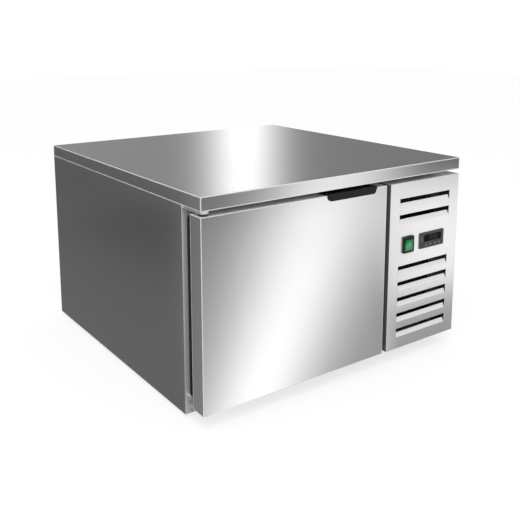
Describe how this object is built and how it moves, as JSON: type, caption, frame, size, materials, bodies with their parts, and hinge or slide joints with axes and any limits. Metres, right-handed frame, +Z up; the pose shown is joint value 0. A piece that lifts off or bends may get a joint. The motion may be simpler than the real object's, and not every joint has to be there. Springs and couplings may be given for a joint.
{
  "type": "blast chiller",
  "caption": "Low countertop blast chiller: insulated cold room with one side-hung steel door and pull, machine room behind a louvred cover with switch and controller.",
  "frame": {"origin": "centre of the footprint, on the surface that the pads stand on", "axes": "+Z up, the door and the louvred cover face -Y, +X to the right seen from the front"},
  "size_m": [0.65, 0.688, 0.42],
  "materials": {
    "stainless": "fine satin brushed sheet, thin bright folded edges",
    "stainless_inner": "matt stainless sheet",
    "zinc_plate": "pale bright zinc plate",
    "copper_pipe": "drawn copper, slightly dulled",
    "aluminium_fins": "matt fin stock",
    "black_paint": "semi-gloss black enamel",
    "black_plastic": "fine-grained moulding",
    "slate_plastic": "fine-grained moulding",
    "green_plastic": "polished, slightly translucent",
    "display_window": "polished dark lens",
    "rubber": "soft extruded rubber",
    "foam": "poured polyurethane foam",
    "core_board": "particle board with a white facing"
  },
  "bodies": {
    "cabinet": {"worktop": "stainless", "worktop_board": "core_board", "left_side_panel": "stainless", "right_side_panel": "stainless", "rear_panel": "stainless_inner", "base_tray": "stainless_inner", "front_frame": "stainless", "cavity_liner": "stainless_inner", "foam_insulation": "foam", "partition_panel": "stainless_inner", "tray_rack_left": "stainless_inner", "tray_rack_right": "stainless_inner", "fan_panel": "stainless_inner", "evaporator_coil": "aluminium_fins", "drip_tray": "stainless_inner", "evaporator_fan_motor": "black_paint", "evaporator_fan_bracket": "zinc_plate", "evaporator_fan_guard": "zinc_plate", "compressor": "black_paint", "relay_cover": "black_plastic", "condenser_coil": "black_paint", "condenser_shroud": "black_paint", "condenser_fan_motor": "black_paint", "condenser_fan_bracket": "zinc_plate", "filter_drier": "copper_pipe", "discharge_pipe": "copper_pipe", "liquid_pipe": "copper_pipe", "capillary_pipe": "copper_pipe", "suction_pipe": "copper_pipe", "electrical_box": "zinc_plate", "electrical_box_lid": "zinc_plate", "cable_gland": "black_plastic", "louvred_cover": "stainless", "switch_body": "black_plastic", "controller_case": "slate_plastic", "controller_window": "display_window", "hinge_bracket_top": "zinc_plate", "hinge_bracket_bottom": "zinc_plate", "rubber_pad_1": "rubber", "compressor_grommet_1": "rubber", "rubber_pad_2": "rubber", "compressor_grommet_2": "rubber", "rubber_pad_3": "rubber", "compressor_grommet_3": "rubber", "rubber_pad_4": "rubber", "compressor_grommet_4": "rubber"},
    "door": {"door_outer_skin": "stainless", "door_inner_liner": "stainless_inner", "door_foam": "foam", "door_gasket": "rubber", "door_pull": "black_plastic", "hinge_bush_top": "black_plastic", "hinge_bush_bottom": "black_plastic"},
    "rocker": {"switch_rocker": "green_plastic"},
    "evaporator_fan": {"evaporator_fan_blade": "aluminium_fins"},
    "condenser_fan": {"condenser_fan_blade": "aluminium_fins"},
    "key_1": {"controller_key_1": "slate_plastic"},
    "key_2": {"controller_key_2": "slate_plastic"},
    "key_3": {"controller_key_3": "slate_plastic"},
    "key_4": {"controller_key_4": "slate_plastic"}
  },
  "joints": [
    {"name": "door_hinge", "type": "hinge", "parent": "cabinet", "child": "door", "pos_m": [-0.3135, -0.3245, 0.207], "axis": [0, 0, -1], "range_deg": [0, 110]},
    {"name": "rocker_hinge", "type": "hinge", "parent": "cabinet", "child": "rocker", "pos_m": [0.1725, -0.334, 0.253], "axis": [-1, 0, 0], "range_deg": [0, 14]},
    {"name": "evaporator_fan_spin", "type": "hinge", "parent": "cabinet", "child": "evaporator_fan", "pos_m": [-0.108, 0.14, 0.205], "axis": [0, 1, 0], "continuous": true},
    {"name": "condenser_fan_spin", "type": "hinge", "parent": "cabinet", "child": "condenser_fan", "pos_m": [0.217, -0.1807, 0.153], "axis": [0, 1, 0], "continuous": true},
    {"name": "key_1_press", "type": "slide", "parent": "cabinet", "child": "key_1", "axis": [0, 1, 0], "range_m": [0, 0.0005]},
    {"name": "key_2_press", "type": "slide", "parent": "cabinet", "child": "key_2", "axis": [0, 1, 0], "range_m": [0, 0.0005]},
    {"name": "key_3_press", "type": "slide", "parent": "cabinet", "child": "key_3", "axis": [0, 1, 0], "range_m": [0, 0.0005]},
    {"name": "key_4_press", "type": "slide", "parent": "cabinet", "child": "key_4", "axis": [0, 1, 0], "range_m": [0, 0.0005]}
  ]
}
